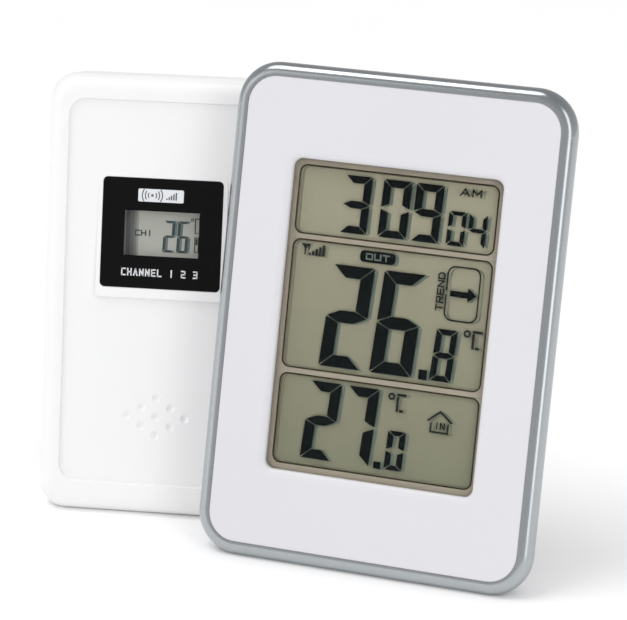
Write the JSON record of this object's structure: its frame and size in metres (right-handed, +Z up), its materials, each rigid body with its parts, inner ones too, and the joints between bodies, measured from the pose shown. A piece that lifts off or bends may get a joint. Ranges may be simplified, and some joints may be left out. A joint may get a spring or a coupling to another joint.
{
  "type": "wireless thermometer",
  "caption": "Leaning digital thermometer station with a silver-ringed white face, stand and rear buttons, beside its white remote sensor with a black window.",
  "frame": {"origin": "middle of the flat land under the station's ring, on the table", "axes": "+Z up, the display faces -Y and +X is at its right hand"},
  "size_m": [0.1484, 0.0672, 0.1221],
  "materials": {
    "white_case": "satin moulded",
    "silver_trim": "silver-grey painted, satin",
    "clear_window": "clear moulded",
    "display_glass": "reflective display",
    "reflector_film": "matt film",
    "inner_plastic": "moulded",
    "contact_rubber": "matt",
    "circuit_board": "lacquered",
    "screw_steel": "plated",
    "epoxy_black": "cast",
    "component_metal": "tinned",
    "cell_jacket": "plain wrapped",
    "contact_metal": "nickel plated",
    "grey_button": "moulded",
    "black_window": "gloss"
  },
  "bodies": {
    "station": {"trim_ring": "silver_trim", "front_panel": "white_case", "lens": "clear_window", "lcd_cell": "display_glass", "reflector": "reflector_film", "lcd_holder": "inner_plastic", "zebra_strip": "contact_rubber", "main_board": "circuit_board", "board_screws": "screw_steel", "chip": "epoxy_black", "crystal": "component_metal", "receiver": "circuit_board", "antenna": "component_metal", "thermistor": "epoxy_black", "tact_switches": "epoxy_black", "rear_housing": "white_case", "station_cells": "cell_jacket", "station_contacts": "contact_metal", "stand_pin": "screw_steel", "case_screws": "screw_steel"},
    "sensor": {"sensor_front": "white_case", "sensor_bezel": "black_window", "sensor_lens": "clear_window", "sensor_lcd": "display_glass", "sensor_holder": "inner_plastic", "sensor_zebra": "contact_rubber", "sensor_board": "circuit_board", "sensor_board_screws": "screw_steel", "sensor_chip": "epoxy_black", "transmitter": "circuit_board", "sensor_antenna": "component_metal", "sensor_thermistor": "epoxy_black", "sensor_seal": "contact_rubber", "sensor_rear": "white_case", "sensor_cells": "cell_jacket", "sensor_contacts": "contact_metal", "switch_body": "component_metal", "send_tact": "epoxy_black", "sensor_pin": "screw_steel", "sensor_case_screws": "screw_steel"},
    "stand": {"stand_leg": "white_case"},
    "door": {"battery_door": "white_case"},
    "mode_button": {"button_mode": "grey_button"},
    "set_button": {"button_set": "grey_button"},
    "up_button": {"button_up": "grey_button"},
    "down_button": {"button_down": "grey_button"},
    "sensor_stand": {"sensor_leg": "white_case"},
    "sensor_lid": {"sensor_door": "white_case"},
    "channel_knob": {"channel_switch": "black_window"},
    "send_key": {"send_button": "grey_button"}
  },
  "joints": [
    {"name": "stand_fold", "type": "hinge", "parent": "station", "child": "stand", "pos_m": [0, 0.03095, 0.0552], "axis": [1, 0, 0], "range_deg": [-28, 0]},
    {"name": "door_swing", "type": "hinge", "parent": "station", "child": "door", "pos_m": [0, 0.04088, 0.08663], "axis": [1, 0, 0], "range_deg": [0, 95]},
    {"name": "mode_press", "type": "slide", "parent": "station", "child": "mode_button", "axis": [0, -0.9622, 0.2723], "range_m": [0, 0.0006], "stiffness_N_per_m": 400},
    {"name": "set_press", "type": "slide", "parent": "station", "child": "set_button", "axis": [0, -0.9622, 0.2723], "range_m": [0, 0.0006], "stiffness_N_per_m": 400},
    {"name": "up_press", "type": "slide", "parent": "station", "child": "up_button", "axis": [0, -0.9622, 0.2723], "range_m": [0, 0.0006], "stiffness_N_per_m": 400},
    {"name": "down_press", "type": "slide", "parent": "station", "child": "down_button", "axis": [0, -0.9622, 0.2723], "range_m": [0, 0.0006], "stiffness_N_per_m": 400},
    {"name": "sensor_place", "type": "slide", "parent": "station", "child": "sensor", "axis": [-1, 0, 0], "range_m": [0, 0.12]},
    {"name": "sensor_stand_fold", "type": "hinge", "parent": "sensor", "child": "sensor_stand", "pos_m": [-0.06958, 0.04228, 0.04448], "axis": [0.9792, 0.2028, 0], "range_deg": [-22, 0]},
    {"name": "sensor_lid_swing", "type": "hinge", "parent": "sensor", "child": "sensor_lid", "pos_m": [-0.07137, 0.05096, 0.07673], "axis": [0.9792, 0.2028, 0], "range_deg": [0, 95]},
    {"name": "channel_slide", "type": "slide", "parent": "sensor", "child": "channel_knob", "axis": [0.9792, 0.2028, 0], "range_m": [-0.002, 0.002]},
    {"name": "send_press", "type": "slide", "parent": "sensor", "child": "send_key", "axis": [0.1968, -0.9501, 0.2419], "range_m": [0, 0.0006], "stiffness_N_per_m": 400}
  ]
}
